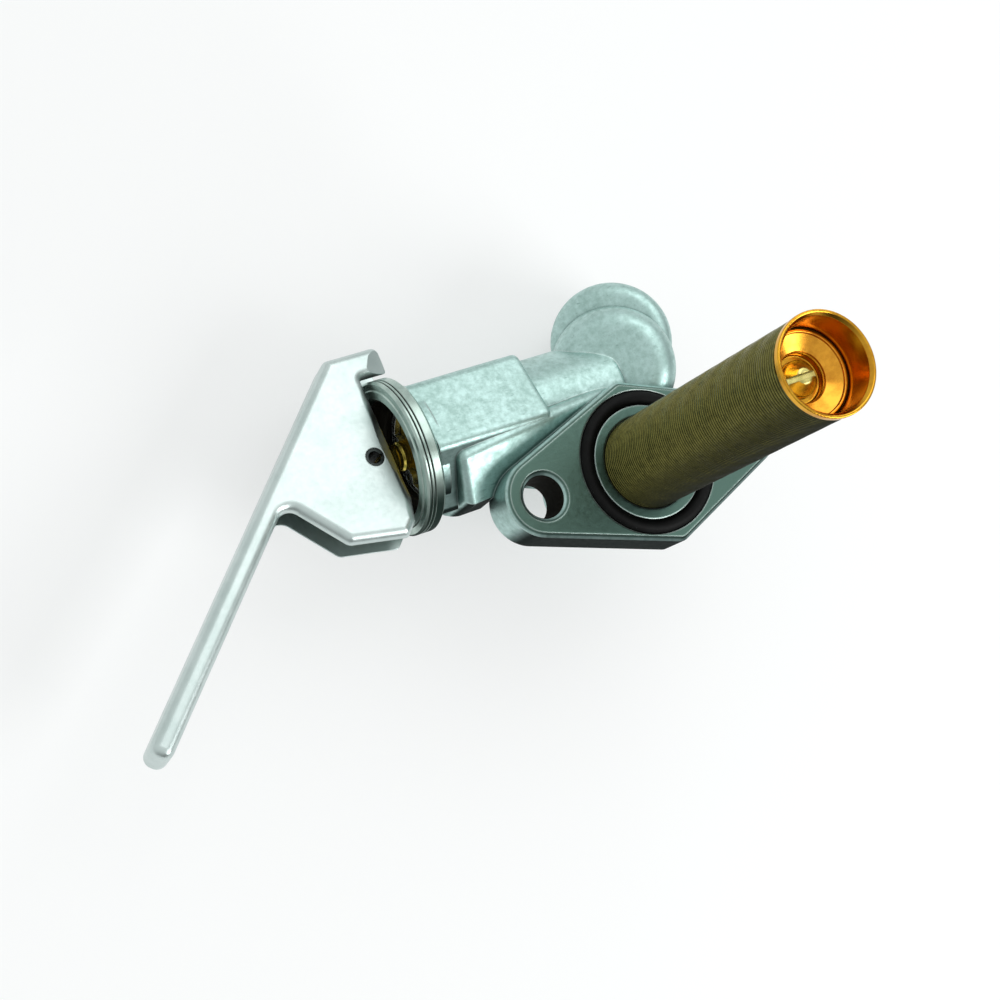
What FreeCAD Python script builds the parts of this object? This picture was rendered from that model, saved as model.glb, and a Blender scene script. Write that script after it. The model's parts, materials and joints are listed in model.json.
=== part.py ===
import FreeCAD, Part
import math
import os

# Fuel tap for the underside of a tank. Millimetres.
# Origin: centre of the flange face that lies against the tank. +Z runs up the filter into
# the tank, X runs through the two bolt holes, and the barrel's mouth faces -X.

Vec = FreeCAD.Vector

# fits and clearances
slide_fit = 0.05
seat_fit = 0.03
body_gap = 0.30

# flange
bolt_spacing = 40.0
bolt_hole_r = 3.5
bolt_head_room_r = 6.0
flange_thick = 7.5
flange_lobe_r = 6.7
flange_far_lobe_r = 6.2
flange_top = (0.0, 14.35)
flange_low = (1.4, -14.4)
flange_corner_r = 2.0
edge_break = 0.7
hole_break = 0.8
groove_outer_r = 12.25
groove_inner_r = 9.7
groove_deep = 1.9
face_seal_r = 1.27
filter_bore_r = 7.95
filter_bore_deep = 5.5
throat_r = 5.5
throat_deep = 11.0

# barrel, from the collar on its mouth inwards
barrel_y = 15.0
barrel_z = -13.8
mouth_x = -37.6
collar_r = 13.15
collar_len = 3.55
collar_lip = 1.6
collar_wall = 2.0
collar_bevel = 0.25
collar_face_wide = 1.47
collar_face_drop = 0.2
collar_shoulder = 0.32
collar_back_round = 0.45
collar_groove_at = (1.0, 1.65)
collar_groove_half = 0.15
collar_groove_cut = 0.35
mouth_step = 0.23
spigot_wall = 1.25
spigot_bore_deep = 3.9
block_gap = 0.4
hex_across = 21.6
hex_turn = 70.0
hex_corner_r = 1.6
hex_end_x = -12.4
hex_end_round = 1.0
barrel_r = 9.44
barrel_end_x = 4.3
barrel_end_round = 0.8
wall = 1.5
chamber_end_x = -1.5
way_out_r = 4.0
way_out_x = 8.5
drill_point = 0.577

# neck between the barrel and the flange: points (y, z) of its crest at three places along X,
# and the points that all three share underneath
neck_left_x = -30.9
neck_right_x = 3.0
neck_crest_left = [(10.7, -1.5), (2.7, -5.6), (2.5, -13.0)]
neck_crest_middle = [(13.5, -1.3), (4.2, -5.8), (2.8, -13.0)]
neck_crest_right = [(15.4, -3.7), (6.0, -7.0), (3.3, -14.0)]
neck_under = [(6.0, -21.0), (15.0, -22.8), (15.0, -8.0)]
neck_round = 1.6

# round end of the valve chamber, and the outlet boss behind it; both lean the same way
outlet_lean = 27.0
turret_top = (3.6, 17.8, -5.4)
turret_r = 10.7
turret_len = 16.0
turret_round = 4.0
outlet_top = (7.2, 22.6, -9.3)
outlet_r = 10.5
outlet_len = 20.0
outlet_round = 2.5
boss_end_round = 1.0
thread_r = 6.25
thread_len = 10.0
thread_break = 0.8
outlet_drill_r = 4.6
outlet_drill_top_r = 2.0
outlet_drill_cone = 1.5
outlet_top_wall = 3.0
column_r = 9.6
column_low = -22.0
feed_r = 3.0
feed_top = (0.8, -3.2, -1.5)
feed_end = (-9.0, 11.5)

# plunger, its guide and the retaining ring
stem_r = 2.5
pin_out = 3.7
pin_r = 1.6
pin_wall = 0.55
pin_slit = 0.5
pin_short = 0.2
eye_r = 3.6
eye_round = 0.5
stem_nose = 1.5
stem_groove_at = 0.9
stem_groove_wide = 1.2
stem_groove_deep = 0.3
clip_deep = 4.9
clip_thick = 1.1
clip_play = 0.1
clip_groove = 0.7
clip_wide = 1.6
clip_gap = 3.4
clip_ear_r = 1.6
clip_ear_hole_r = 0.6
clip_ear_side = 3.0
bush_len = 8.9
bush_break = 0.6
bush_mouth_break = 0.4
bush_groove_at = 3.4
bush_groove_wide = 2.1
gland_r = 5.0
gland_deep = 4.8
gland_seal_at = (1.9, 3.8)
seal_section_r = 0.8
washer_thick = 1.0
washer_clear = 1.2
valve_head_r = 6.2
valve_head_len = 3.5
valve_head_shoulder = 1.2
valve_back_x = -7.3
disc_r = 5.4
disc_thick = 2.0
disc_cup = 1.1
disc_round = 0.3
valve_screw_deep = 4.5
valve_screw_head_r = 2.5
valve_screw_head = 1.3
valve_screw_slot_wide = 0.7
valve_screw_slot_deep = 0.6
nozzle_r = 3.4
nozzle_lip = 0.6
nozzle_bevel = 0.3
seat_r = 6.0
seat_len = 4.5
spring_wire_r = 0.55
spring_mean_r = 4.7
spring_turns = 5.3
spring_ground = 0.8

# lever, seen square on: a point's first figure is out of the barrel, its second is up across
# it, and its third is the corner's radius
sheet = 1.5
lever_tilt = 8.0
lever_width = 8.6
nose_gap = 0.35
nose_thick = 4.8
nose_out = -4.7
nose_r = 1.2
nose_tip_r = 0.5
nose_root_r = 0.4
cam_low = -8.2
cam_low_r = 2.0
cam_heel = (1.3, -12.0, 1.5)
cam_toe = (3.4, -14.1, 1.0)
cheek = (13.4, -12.3, 1.6)
crook = (20.9, -3.0, 2.2)
arm_back = 23.2
arm_deep = 3.8
arm_reach = 62.3
arm_tip_r = 1.7
arm_bend_r = 1.6
coin_ball_r = 70.4
coin_ball_out = -27.1
coin_ball_up = 1.5
coin_ball_deep = 6.3

# filter
wire = 0.4
filter_r = 7.85
winding_low = -0.6
winding_short = 1.0
base_r = 6.0
base_shoulder = 0.8
base_spigot = 3.0
base_edge_r = 0.3
core_wall = 0.42
core_top_rise = 1.0
slots_round = 6
slot_rows = 3
slot_wide = 3.0
slot_bridge = 2.0
slots_from_foot = 5.0
slots_from_top = 5.0
slot_corner_r = 1.4
cap_rim_r = 7.98
cap_rim_z = 56.5
cap_rim_fold = 0.95
cap_rim_flare = 0.55
cap_sheet = 0.45
cap_deep = 8.5
cap_floor_r = 3.65
cap_dish = 1.1
cap_taper = 0.1
cap_bend_r = 0.4
cap_edge_r = 0.2
cap_shoulder = 1.0
cap_washer_hole_r = 3.9
cap_washer_thick = 0.4
cap_washer_rise = 0.9
cap_washer_gap = 0.2
cap_bead = 0.5
cap_bead_high = 0.35
cap_bead_r = 0.2
screw_r = 1.5
screw_len = 7.5
screw_point = 0.7
screw_point_r = 0.9
screw_head_r = 2.8
screw_head_high = 2.6
screw_head_side = 1.0
screw_head_top_r = 1.2
screw_head_round = 0.8
screw_slot_wide = 0.9
screw_slot_deep = 1.3
screw_slot_turn = -90.0
anchor_drop = 6.0
anchor_thick = 3.0
anchor_hub_r = 2.8
anchor_rim = 0.9
anchor_spoke = 1.8
anchor_spokes = 3

# worked out from the sizes above
spigot_r = collar_r - collar_wall
spigot_bore_r = spigot_r - spigot_wall
collar_mouth_r = spigot_bore_r + mouth_step
chamber_r = barrel_r - wall
chamber_len = chamber_end_x - mouth_x
bush_start = clip_deep + clip_thick + clip_play
bush_end = bush_start + bush_len
valve_back = valve_back_x - mouth_x
disc_start = valve_back + valve_head_len
nose_low = collar_r + nose_gap
lever_top = nose_low + nose_thick
core_r = filter_r - wire
core_bore_r = core_r - core_wall
cap_floor_z = cap_rim_z - cap_deep
core_top_z = cap_floor_z + core_top_rise
anchor_low_z = cap_floor_z - anchor_drop
slot_step = (core_top_z - slots_from_top - slots_from_foot) / slot_rows
slot_high = slot_step - slot_bridge
tilt = math.radians(lever_tilt)
lever_across = Vec(0, math.sin(tilt), math.cos(tilt))
lever_up = Vec(0, math.cos(tilt), -math.sin(tilt))
barrel_mouth = Vec(mouth_x, barrel_y, barrel_z)
inward = Vec(1, 0, 0)
up = Vec(0, 0, 1)
centre = Vec(0, 0, 0)
off_axis = Vec(0.3, 1, 0.2)    # along none of the axes that a piece is turned about


def rod(start, axis, radius, length):
    return Part.makeCylinder(radius, length, start, axis)


def tube(start, axis, outer, inner, length):
    return rod(start, axis, outer, length).cut(rod(start, axis, inner, length))


def rounded_wire(corners, place):
    """corners: (a, b, radius) in a plane; place turns (a, b) into a point in space."""
    count = len(corners)
    edges = []
    ends = []
    for i in range(count):
        a, b, radius = corners[i]
        here = Vec(a, b, 0)
        before = Vec(corners[i - 1][0], corners[i - 1][1], 0).sub(here).normalize()
        after = Vec(corners[(i + 1) % count][0], corners[(i + 1) % count][1], 0).sub(here).normalize()
        if radius == 0:
            ends.append((here, None, here))
            continue
        half = before.getAngle(after) / 2
        run = radius / math.tan(half)
        middle = before.add(after).normalize()
        nearest = radius / math.sin(half) - radius
        ends.append((here + before * run, here + middle * nearest, here + after * run))
    for i in range(count):
        first, bend, last = ends[i]
        if bend is not None:
            edges.append(Part.Arc(place(first), place(bend), place(last)).toShape())
        following = ends[(i + 1) % count][0]
        if last.sub(following).Length > 1e-6:
            edges.append(Part.makeLine(place(last), place(following)))
    return Part.Wire(edges)


def turned(profile, origin, axis):
    """Revolve (distance along the axis, radius, corner radius) points about the axis."""
    side = axis.cross(off_axis).normalize()
    corners = [point if len(point) == 3 else (point[0], point[1], 0) for point in profile]
    outline = rounded_wire(corners, lambda p: origin + axis * p.x + side * p.y)
    return Part.Face(outline).revolve(origin, axis, 360)


def plain_ring(start, thick, outer, inner):
    """A washer on the barrel's axis."""
    return turned([(start, inner), (start, outer), (start + thick, outer), (start + thick, inner)],
                  barrel_mouth, inward)


def ring_seal(middle, axis, middle_r, section_r):
    return Part.makeTorus(middle_r, section_r, middle, axis)


def inside_barrel(depth):
    return barrel_mouth + inward * depth


def union(first, others):
    for other in others:
        first = first.fuse(other)
    return first.removeSplitter()


def soften(shape, radius, wanted):
    edges = [edge for edge in shape.Edges if wanted(edge)]
    return shape.makeFillet(radius, edges)


# Body casting: flange, barrel, neck, turret and outlet boss in one piece.

def lobe_corner(lobe_x, lobe_r):
    """Where the two lines from the flange's top and low corners, drawn past a lobe, meet."""
    lines = []
    for corner, turn in ((flange_top, 1), (flange_low, -1)):
        run = math.hypot(lobe_x - corner[0], corner[1])
        side = 1 if lobe_x < 0 else -1
        heading = math.atan2(-corner[1], lobe_x - corner[0]) - side * turn * math.asin(lobe_r / run)
        lines.append((corner[0], corner[1], math.tan(heading)))
    (ax, ay, am), (bx, by, bm) = lines
    x = (by - ay + am * ax - bm * bx) / (am - bm)
    return (x, ay + am * (x - ax), lobe_r)


def flange_plate():
    near = lobe_corner(-bolt_spacing / 2, flange_lobe_r)
    far = lobe_corner(bolt_spacing / 2, flange_far_lobe_r)
    outline = [far, (flange_top[0], flange_top[1], flange_corner_r),
               near, (flange_low[0], flange_low[1], flange_corner_r)]
    plate = Part.Face(rounded_wire(outline, lambda p: Vec(p.x, p.y, -flange_thick)))
    plate = plate.extrude(up * flange_thick)
    return plate.makeChamfer(edge_break, [e for e in plate.Edges if e.BoundBox.ZMin > -0.01])


def barrel_outside():
    block_start = collar_len + block_gap
    corner_r = hex_across / 2 / math.cos(math.pi / 6)
    corners = []
    for i in range(6):
        angle = math.radians(hex_turn + 30 + 60 * i)
        corners.append((corner_r * math.cos(angle), corner_r * math.sin(angle), hex_corner_r))
    face = Part.Face(rounded_wire(corners, lambda p: inside_barrel(block_start) + Vec(0, p.x, p.y)))
    block = face.extrude(inward * (hex_end_x - mouth_x - block_start))
    block = soften(block, hex_end_round, lambda e: e.BoundBox.XMin > hex_end_x - 0.01)
    spigot = rod(inside_barrel(collar_lip), inward, spigot_r, block_start)
    rear = rod(inside_barrel(block_start), inward, barrel_r, barrel_end_x - mouth_x - block_start)
    rear = soften(rear, barrel_end_round, lambda e: e.BoundBox.XMin > barrel_end_x - 0.01)
    return [block, spigot, rear]


def neck():
    """Its top slopes down from the barrel's crest to the flange."""
    crests = {neck_left_x: neck_crest_left, hex_end_x: neck_crest_middle, neck_right_x: neck_crest_right}
    outlines = []
    for x, crest in crests.items():
        points = [Vec(x, y, z) for y, z in crest + neck_under]
        outlines.append(Part.makePolygon(points + [points[0]]))
    solid = Part.makeLoft(outlines, True, True)
    crest_low = neck_crest_right[0][1] - 0.01
    side_low = neck_crest_left[2][1] - 0.01

    def on_crest_or_end(edge):
        box = edge.BoundBox
        on_end = box.XMax < neck_left_x + 0.01 and box.ZMin > side_low
        on_crest = box.XLength > 1 and box.ZMin > crest_low
        return on_end or on_crest
    return soften(solid, neck_round, on_crest_or_end)


def outlet_axis():
    lean = math.radians(outlet_lean)
    return Vec(math.sin(lean), 0, -math.cos(lean))


def round_boss(top, radius, length, shoulder):
    profile = [(0, 0, 0), (0, radius, shoulder), (length, radius, boss_end_round), (length, 0, 0)]
    return turned(profile, Vec(*top), outlet_axis())


def cut_flange(solid):
    """Seal groove, filter bore, and a hole in each lobe with room for the bolt's head under it."""
    groove_floor = Vec(0, 0, -groove_deep)
    solid = solid.cut(tube(groove_floor, up, groove_outer_r, groove_inner_r, groove_deep))
    filter_bore = [(-throat_deep - throat_r * drill_point, 0), (-throat_deep, throat_r),
                   (-filter_bore_deep, throat_r), (-filter_bore_deep, filter_bore_r),
                   (0, filter_bore_r), (0, 0)]
    solid = solid.cut(turned(filter_bore, centre, up))
    hole = [(-flange_thick, 0), (-flange_thick, bolt_hole_r), (-hole_break, bolt_hole_r),
            (0, bolt_hole_r + hole_break), (0, 0)]
    for side in (-1, 1):
        middle = Vec(side * bolt_spacing / 2, 0, 0)
        solid = solid.cut(turned(hole, middle, up))
        foot = middle + up * column_low
        solid = solid.cut(rod(foot, up, bolt_head_room_r, -flange_thick - column_low))
    return solid


def cut_barrel(solid):
    """Mouth, ring groove, chamber, seat recess and the way out behind it."""
    seat_floor = chamber_len + seat_len
    way_out = way_out_x - mouth_x
    groove_r = chamber_r + clip_groove
    bore = [(0, 0), (0, spigot_bore_r), (spigot_bore_deep, spigot_bore_r), (spigot_bore_deep, chamber_r),
            (clip_deep, chamber_r), (clip_deep, groove_r), (bush_start, groove_r), (bush_start, chamber_r),
            (chamber_len, chamber_r), (chamber_len, seat_r), (seat_floor, seat_r), (seat_floor, way_out_r),
            (way_out, way_out_r), (way_out + way_out_r * drill_point, 0)]
    return solid.cut(turned(bore, barrel_mouth, inward))


def cut_passages(solid):
    """Outlet port, and the slanting drilling that feeds the chamber from the filter."""
    mouth = outlet_len - thread_break
    thread_end = mouth - thread_len
    cone_end = outlet_top_wall + outlet_drill_cone
    port = [(outlet_len, 0), (outlet_len, thread_r + thread_break), (mouth, thread_r), (thread_end, thread_r),
            (thread_end - thread_break, outlet_drill_r), (cone_end, outlet_drill_r),
            (outlet_top_wall, outlet_drill_top_r), (outlet_top_wall, 0)]
    solid = solid.cut(turned(port, Vec(*outlet_top), outlet_axis()))
    start = Vec(*feed_top)
    run = Vec(feed_end[0], feed_end[1], barrel_z).sub(start)
    return solid.cut(rod(start, run, feed_r, run.Length))


def body_casting():
    column = rod(Vec(0, 0, column_low), up, column_r, -flange_thick - column_low)
    solid = union(flange_plate(), barrel_outside() + [
        neck(), column,
        round_boss(turret_top, turret_r, turret_len, turret_round),
        round_boss(outlet_top, outlet_r, outlet_len, outlet_round)])
    return cut_passages(cut_barrel(cut_flange(solid)))


def face_seal():
    middle = Vec(0, 0, -groove_deep + face_seal_r)
    return ring_seal(middle, up, (groove_outer_r + groove_inner_r) / 2, face_seal_r)


def thrust_collar():
    face_r = collar_mouth_r + collar_face_wide
    profile = [(collar_bevel, collar_mouth_r), (0, collar_mouth_r + collar_bevel), (0, face_r),
               (collar_face_drop, face_r + collar_face_drop), (collar_face_drop, collar_r - collar_shoulder),
               (collar_face_drop + collar_shoulder, collar_r)]
    for middle in collar_groove_at:
        profile += [(middle - collar_groove_half, collar_r), (middle, collar_r - collar_groove_cut),
                    (middle + collar_groove_half, collar_r)]
    lip_back = collar_lip - seat_fit
    seat = spigot_r + seat_fit
    profile += [(collar_len - collar_back_round, collar_r), (collar_len, collar_r - collar_back_round),
                (collar_len, seat), (lip_back, seat), (lip_back, collar_mouth_r)]
    return turned(profile, barrel_mouth, inward)


def valve_seat():
    lip_foot = chamber_len + nozzle_lip
    end = chamber_len + seat_len
    lip_in = nozzle_r + nozzle_bevel
    lip_out = lip_in + nozzle_lip
    profile = [(chamber_len, lip_in), (chamber_len, lip_out), (lip_foot, lip_out + nozzle_bevel),
               (lip_foot, seat_r), (end, seat_r), (end, nozzle_r), (chamber_len + nozzle_bevel, nozzle_r)]
    return turned(profile, barrel_mouth, inward)


def guide_bush():
    outer = chamber_r - slide_fit
    bore = stem_r + slide_fit
    groove_at = bush_start + bush_groove_at
    groove_end = groove_at + bush_groove_wide
    groove_floor = chamber_r - 2 * seal_section_r - seat_fit
    washer_seat = bush_end - washer_thick
    gland_floor = bush_end - gland_deep
    gland_bore = bore + 2 * seal_section_r
    profile = [(bush_start, bore + bush_mouth_break), (bush_start, outer - bush_break),
               (bush_start + bush_break, outer), (groove_at, outer), (groove_at, groove_floor),
               (groove_end, groove_floor), (groove_end, outer), (bush_end, outer), (bush_end, gland_r),
               (washer_seat, gland_r), (washer_seat, gland_bore), (gland_floor, gland_bore),
               (gland_floor, bore), (bush_start + bush_mouth_break, bore)]
    return turned(profile, barrel_mouth, inward)


def bush_seal():
    middle = bush_start + bush_groove_at + bush_groove_wide / 2
    return ring_seal(inside_barrel(middle), inward, chamber_r - seal_section_r, seal_section_r)


def stem_seals():
    middle_r = stem_r + slide_fit + seal_section_r
    middles = [inside_barrel(bush_end - back) for back in gland_seal_at]
    return Part.makeCompound([ring_seal(middle, inward, middle_r, seal_section_r) for middle in middles])


def gland_washer():
    return plain_ring(bush_end - washer_thick, washer_thick, gland_r, stem_r + slide_fit)


def snap_ring():
    outer = chamber_r + clip_groove - clip_play
    start = inside_barrel(clip_deep + clip_play / 2)
    ring = tube(start, inward, outer, outer - clip_wide, clip_thick)
    ring = ring.cut(Part.makeBox(clip_thick, clip_gap, outer, start + Vec(0, -clip_gap / 2, -outer)))
    for side in (-1, 1):
        ear_middle = start + Vec(0, side * clip_ear_side, clip_ear_r + clip_play - chamber_r)
        hole = rod(ear_middle, inward, clip_ear_hole_r, clip_thick)
        ring = ring.fuse(rod(ear_middle, inward, clip_ear_r, clip_thick)).cut(hole)
    return ring.removeSplitter()


# Plunger, which the lever draws out against its spring.

def thrust_washer():
    return plain_ring(bush_end + slide_fit, washer_thick, chamber_r - washer_clear, stem_r + body_gap)


def stem():
    groove_end = stem_groove_at + stem_groove_wide
    groove_r = stem_r - stem_groove_deep
    shoulder = valve_head_shoulder
    cup = disc_start + disc_cup
    screw_end = disc_start - valve_screw_deep
    shaft = [(stem_nose - pin_out, 0), (stem_nose - pin_out, stem_r), (stem_groove_at, stem_r),
             (stem_groove_at + stem_groove_deep, groove_r), (groove_end - stem_groove_deep, groove_r),
             (groove_end, stem_r), (valve_back - shoulder, stem_r), (valve_back, stem_r + shoulder),
             (valve_back, valve_head_r - shoulder, disc_round),
             (valve_back + shoulder, valve_head_r, disc_round), (cup, valve_head_r), (cup, disc_r),
             (disc_start, disc_r), (disc_start, screw_r), (screw_end, screw_r),
             (screw_end - screw_r * drill_point, 0)]
    solid = turned(shaft, barrel_mouth, inward)
    half = lever_width / 2 - sheet - body_gap
    eye_start = barrel_mouth - inward * pin_out - lever_across * half
    eye = rod(eye_start, lever_across, eye_r, 2 * half)
    eye = eye.makeFillet(eye_round, eye.Edges)
    solid = solid.fuse(eye).removeSplitter()
    return solid.cut(rod(eye_start, lever_across, pin_r + slide_fit, 2 * half))


def valve_disc():
    front = disc_start + disc_thick
    profile = [(disc_start, screw_r), (disc_start, disc_r), (front, disc_r, disc_round), (front, screw_r)]
    return turned(profile, barrel_mouth, inward)


def valve_screw():
    face = disc_start + disc_thick
    top = face + valve_screw_head
    head_r = valve_screw_head_r
    tip = disc_start - valve_screw_deep
    profile = [(tip, 0), (tip, screw_r), (face, screw_r), (face, head_r), (top, head_r, disc_round), (top, 0)]
    solid = turned(profile, barrel_mouth, inward)
    slot_corner = inside_barrel(top - valve_screw_slot_deep) - Vec(0, head_r + 1, valve_screw_slot_wide / 2)
    return solid.cut(Part.makeBox(valve_screw_head, 2 * head_r + 2, valve_screw_slot_wide, slot_corner))


def return_spring():
    first = bush_end + slide_fit + washer_thick
    length = valve_back - first
    spare = spring_ground * spring_wire_r
    pitch = (length + 2 * spare) / spring_turns
    helix = Part.makeHelix(pitch, length + 2 * spare, spring_mean_r)
    profile = Part.Wire(Part.makeCircle(spring_wire_r, Vec(spring_mean_r, 0, 0), Vec(0, 1, 0)))
    coil = Part.Wire(helix).makePipeShell([profile], True, True)
    coil.translate(Vec(0, 0, -spare))
    # grind both ends flat
    across = 2 * (spring_mean_r + 2 * spring_wire_r)
    thick = 4 * spring_wire_r
    for end in (-thick, length):
        coil = coil.cut(Part.makeBox(across, across, thick, Vec(-across / 2, -across / 2, end)))
    coil.rotate(centre, Vec(0, 1, 0), 90)
    coil.translate(inside_barrel(first))
    return coil


def pivot_pin():
    half = lever_width / 2 - pin_short
    start = barrel_mouth - inward * pin_out - lever_across * half
    rolled = tube(start, lever_across, pin_r, pin_r - pin_wall, 2 * half)
    slit = Part.makeBox(pin_r + pin_wall, pin_slit, 2 * half, Vec(0, -pin_slit / 2, 0))
    slit.rotate(centre, Vec(1, 0, 0), -lever_tilt)
    slit.translate(start)
    return rolled.cut(slit)


# Lever: one pressed sheet channel, with a cam edge on each cheek and a long arm.

def lever_point(x, y, across=0.0):
    return barrel_mouth - inward * x + lever_up * y + lever_across * across


def arm_corner(back, along):
    """Corner of the arm from its back line's distance and its place along the arm."""
    return ((back + along * math.sqrt(2)) / 2, (back - along * math.sqrt(2)) / 2)


def lever_outline():
    arm_front = arm_back - arm_deep * math.sqrt(2)
    return [(arm_back - lever_top, lever_top, nose_r), (nose_out, lever_top, nose_r),
            (nose_out, nose_low, nose_tip_r), (body_gap, nose_low, nose_root_r),
            (body_gap, cam_low, cam_low_r), cam_heel, cam_toe, cheek, crook,
            (*arm_corner(arm_front, arm_reach), arm_tip_r), (*arm_corner(arm_back, arm_reach), arm_tip_r)]


def on_arm_back(edge):
    middle = edge.valueAt((edge.FirstParameter + edge.LastParameter) / 2).sub(barrel_mouth)
    return edge.Length > arm_reach / 2 and abs(middle.dot(lever_up) - middle.x - arm_back) < 0.05


def channel_hollow():
    """Inside of the channel, open towards the barrel and under the arm."""
    inner_back = arm_back - sheet * math.sqrt(2)
    end = arm_corner(inner_back, arm_reach - sheet)
    near = arm_back + lever_top
    corners = [(inner_back - near, near, 0), (-near, near, 0), (-near, -arm_reach, 0),
               (end[0] - near, end[1] - near, 0), (*end, 0)]
    gap_half = lever_width / 2 - sheet
    face = Part.Face(rounded_wire(corners, lambda p: lever_point(p.x, p.y, -gap_half)))
    return face.extrude(lever_across * 2 * gap_half)


def lever():
    half = lever_width / 2
    plate = Part.Face(rounded_wire(lever_outline(), lambda p: lever_point(p.x, p.y, -half)))
    solid = soften(plate.extrude(lever_across * lever_width), arm_bend_r, on_arm_back)
    solid = solid.cut(channel_hollow())
    # a large ball strikes the shallow bevel along the edge beside the pin
    for side in (-1, 1):
        ball = lever_point(coin_ball_out, coin_ball_up, side * (half + coin_ball_r - coin_ball_deep))
        solid = solid.cut(Part.makeSphere(coin_ball_r, ball))
    return solid.cut(rod(lever_point(pin_out, 0, -half), lever_across, pin_r, lever_width))


# Filter: a slotted tube wound with wire, held down by a cap, a washer and a screw.

def filter_base():
    spigot = core_bore_r - seat_fit
    profile = [(-filter_bore_deep, base_r), (-filter_bore_deep, filter_bore_r),
               (-base_shoulder, filter_bore_r), (-base_shoulder, spigot),
               (base_spigot, spigot, base_edge_r), (base_spigot, base_r)]
    return turned(profile, centre, up)


def filter_core():
    body = tube(Vec(0, 0, -base_shoulder), up, core_r, core_bore_r, core_top_z + base_shoulder)
    deep = 8 * core_wall
    for row in range(slot_rows):
        for i in range(slots_round):
            corner = Vec(core_r - deep / 2, -slot_wide / 2, slots_from_foot + row * slot_step)
            slot = Part.makeBox(deep, slot_wide, slot_high, corner)
            slot = soften(slot, slot_corner_r, lambda e: abs(e.BoundBox.XLength - deep) < 0.01)
            slot.rotate(centre, up, 360.0 / slots_round * i)
            body = body.cut(slot)
    return body


def filter_winding():
    return tube(Vec(0, 0, winding_low), up, filter_r, core_r, cap_rim_z - winding_short - winding_low)


def filter_cap():
    inner = core_r - cap_sheet
    floor = cap_floor_z
    floor_out = cap_floor_r + cap_sheet
    dish = floor + cap_dish
    shoulder = dish + cap_shoulder
    fold = cap_rim_z - cap_rim_fold
    under = floor - cap_sheet
    bend = cap_bend_r
    edge = cap_edge_r
    profile = [(under, screw_r), (under, floor_out, bend), (dish - cap_sheet, floor_out + cap_taper, bend),
               (shoulder - cap_sheet, core_r, bend), (fold, core_r), (fold, cap_rim_r),
               (cap_rim_z, cap_rim_r, edge), (cap_rim_z, inner + cap_rim_flare, edge),
               (cap_rim_z - cap_rim_flare, inner + cap_taper, edge), (shoulder, inner, bend),
               (dish, cap_floor_r + cap_taper, bend), (floor, cap_floor_r, edge), (floor, screw_r)]
    return turned(profile, centre, up)


def cap_washer():
    low = cap_floor_z + cap_dish + 2 * seat_fit
    high = low + cap_washer_rise
    outer = core_r - cap_sheet - cap_washer_gap
    bead_in = outer - cap_bead
    bead_top = high + cap_washer_thick + cap_bead_high
    edge = cap_bead_r
    profile = [(low, cap_washer_hole_r), (high, outer), (bead_top, outer, edge), (bead_top, bead_in, edge),
               (high + cap_washer_thick, bead_in), (low + cap_washer_thick, cap_washer_hole_r)]
    return turned(profile, centre, up)


def cap_screw():
    base = cap_floor_z
    point = base - screw_len
    top = base + screw_head_high
    profile = [(point, 0), (point, screw_point_r), (point + screw_point, screw_r), (base, screw_r),
               (base, screw_head_r), (base + screw_head_side, screw_head_r, screw_head_round),
               (top, screw_head_top_r, screw_head_round), (top, 0)]
    solid = turned(profile, centre, up)
    slot_corner = Vec(-screw_slot_wide / 2, -screw_head_r - 1, top - screw_slot_deep)
    slot = Part.makeBox(screw_slot_wide, 2 * screw_head_r + 2, 2 * screw_slot_deep, slot_corner)
    slot.rotate(centre, up, screw_slot_turn)
    return solid.cut(slot)


def cap_anchor():
    outer = core_bore_r - seat_fit
    foot = Vec(0, 0, anchor_low_z)
    spoke_corner = foot - Vec(0, anchor_spoke / 2, 0)
    spokes = []
    for i in range(anchor_spokes):
        spoke = Part.makeBox(outer - anchor_rim / 2, anchor_spoke, anchor_thick, spoke_corner)
        spoke.rotate(centre, up, 360.0 / anchor_spokes * i)
        spokes.append(spoke)
    rim = tube(foot, up, outer, outer - anchor_rim, anchor_thick)
    solid = union(rod(foot, up, anchor_hub_r, anchor_thick), [rim] + spokes)
    return solid.cut(rod(foot, up, screw_r, anchor_thick))


builders = {
    "body_casting": body_casting,
    "face_seal": face_seal,
    "thrust_collar": thrust_collar,
    "valve_seat": valve_seat,
    "guide_bush": guide_bush,
    "bush_seal": bush_seal,
    "stem_seals": stem_seals,
    "gland_washer": gland_washer,
    "snap_ring": snap_ring,
    "thrust_washer": thrust_washer,
    "return_spring": return_spring,
    "stem": stem,
    "valve_disc": valve_disc,
    "valve_screw": valve_screw,
    "pivot_pin": pivot_pin,
    "lever": lever,
    "filter_base": filter_base,
    "filter_core": filter_core,
    "filter_winding": filter_winding,
    "filter_cap": filter_cap,
    "cap_washer": cap_washer,
    "cap_screw": cap_screw,
    "cap_anchor": cap_anchor,
}

os.makedirs("parts", exist_ok=True)
for name, build in builders.items():
    shape = build()
    print(name, "solids", len(shape.Solids), "valid", shape.isValid(), "volume", round(shape.Volume, 1))
    shape.exportStep("parts/" + name + ".step")
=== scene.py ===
import json
import math

import bpy
from mathutils import Matrix, Vector


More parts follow.
